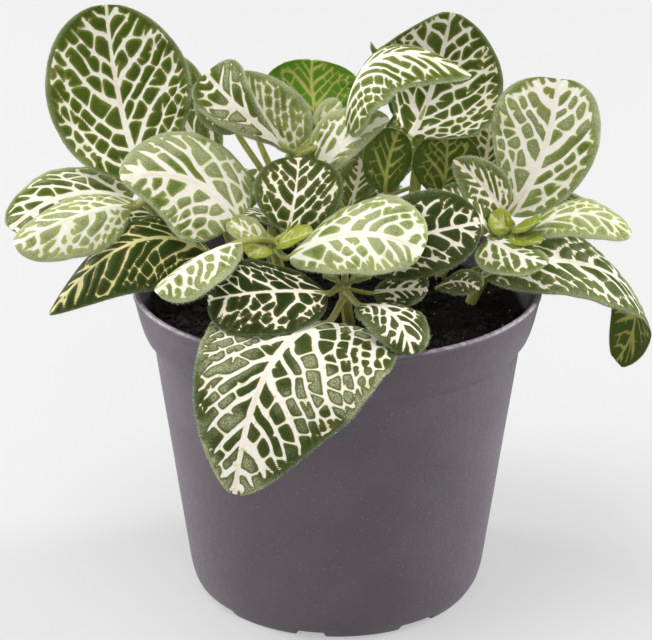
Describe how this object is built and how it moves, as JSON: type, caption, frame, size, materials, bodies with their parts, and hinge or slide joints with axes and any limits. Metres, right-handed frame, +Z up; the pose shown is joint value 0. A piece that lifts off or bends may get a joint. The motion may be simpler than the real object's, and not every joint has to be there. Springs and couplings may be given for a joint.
{
  "type": "potted plant",
  "caption": "Bushy potted nerve plant with white-veined green leaves on rooted stems, in dark peat in a round tapered grower's pot.",
  "frame": {"origin": "on the pot's axis, in the plane that the pot's feet stand on", "axes": "+Z up along the pot's axis; the plant's best side faces -Y, with +X to its right"},
  "size_m": [0.1916, 0.1492, 0.1727],
  "materials": {
    "pot_plastic": "matte",
    "peat": "matte",
    "leaf": "satin"
  },
  "bodies": {
    "root": {"pot": "pot_plastic", "soil": "peat", "left_shoot": "leaf", "centre_shoot": "leaf", "front_shoot": "leaf", "right_shoot": "leaf", "middle_shoot": "leaf", "high_shoot": "leaf", "back_left_shoot": "leaf", "back_shoot": "leaf", "back_right_shoot": "leaf"}
  },
  "joints": []
}
